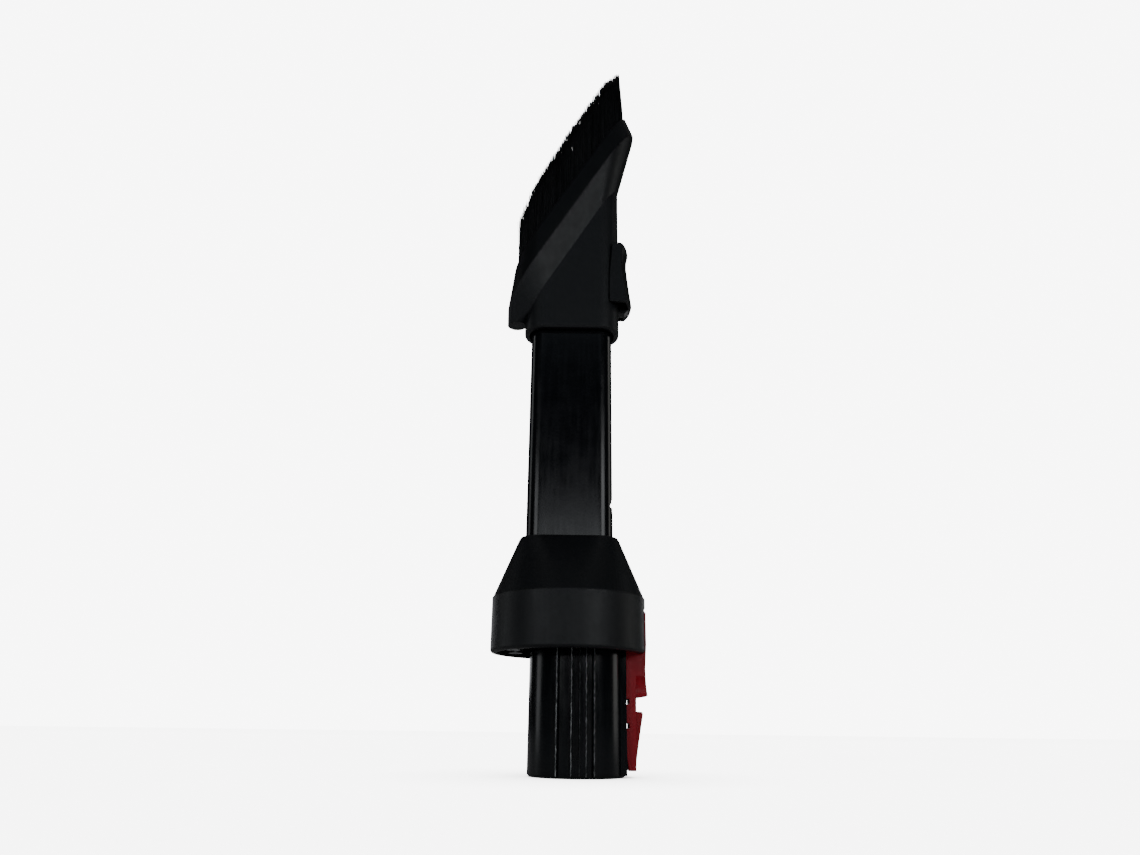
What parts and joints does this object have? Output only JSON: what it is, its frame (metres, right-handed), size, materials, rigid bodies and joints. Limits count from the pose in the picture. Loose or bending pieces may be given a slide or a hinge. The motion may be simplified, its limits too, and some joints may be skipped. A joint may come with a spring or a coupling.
{
  "type": "quick-release combination tool",
  "caption": "Flat crevice duct on a round quick-release stub, with a red release catch and a dusting brush that slides along the duct to a sprung latch.",
  "frame": {"origin": "centre of the connector stub's mouth", "axes": "+Z from the stub's mouth to the bristle tips, +X towards the release catch and the brush latch, -Y out of the broad side that is shown"},
  "size_m": [0.0575, 0.0574, 0.3107],
  "materials": {
    "gloss_black": "glossy moulded black plastic",
    "satin_grey": "satin charcoal plastic",
    "satin_black": "satin black plastic",
    "deep_red": "semi-gloss deep red plastic",
    "black_bristle": "black nylon filament",
    "black_rubber": "matt black seal rubber",
    "pale_pad": "natural low-friction plastic",
    "steel": "plain bright steel"
  },
  "bodies": {
    "nozzle": {"connector_stub": "gloss_black", "collar_shell": "satin_grey", "duct_funnel": "gloss_black", "duct_seal": "black_rubber", "nozzle_tube": "gloss_black", "collar_screws": "steel", "catch_pin": "steel", "catch_spring": "steel"},
    "catch": {"release_catch": "deep_red"},
    "brush_carriage": {"brush_sleeve": "satin_grey", "bristle_carrier": "satin_black", "bristles_front": "black_bristle", "bristles_back": "black_bristle", "bristles_nose": "black_bristle", "bristles_heel": "black_bristle", "glide_pad_front": "pale_pad", "glide_pad_back": "pale_pad", "latch_pin": "steel", "latch_spring": "steel"},
    "latch": {"latch_button": "satin_black"}
  },
  "joints": [
    {"name": "brush_slide", "type": "slide", "parent": "nozzle", "child": "brush_carriage", "axis": [0, 0, -1], "range_m": [0, 0.085]},
    {"name": "catch_hinge", "type": "hinge", "parent": "nozzle", "child": "catch", "pos_m": [0.0184, 0, 0.054], "axis": [0, 1, 0], "range_deg": [0, 3.2], "stiffness_Nm_per_rad": 1.2, "deforming": ["catch_spring"]},
    {"name": "latch_rocker", "type": "hinge", "parent": "brush_carriage", "child": "latch", "pos_m": [0.0172, 0, 0.197], "axis": [0, -1, 0], "range_deg": [0, 5], "stiffness_Nm_per_rad": 0.3, "deforming": ["latch_spring"]}
  ]
}
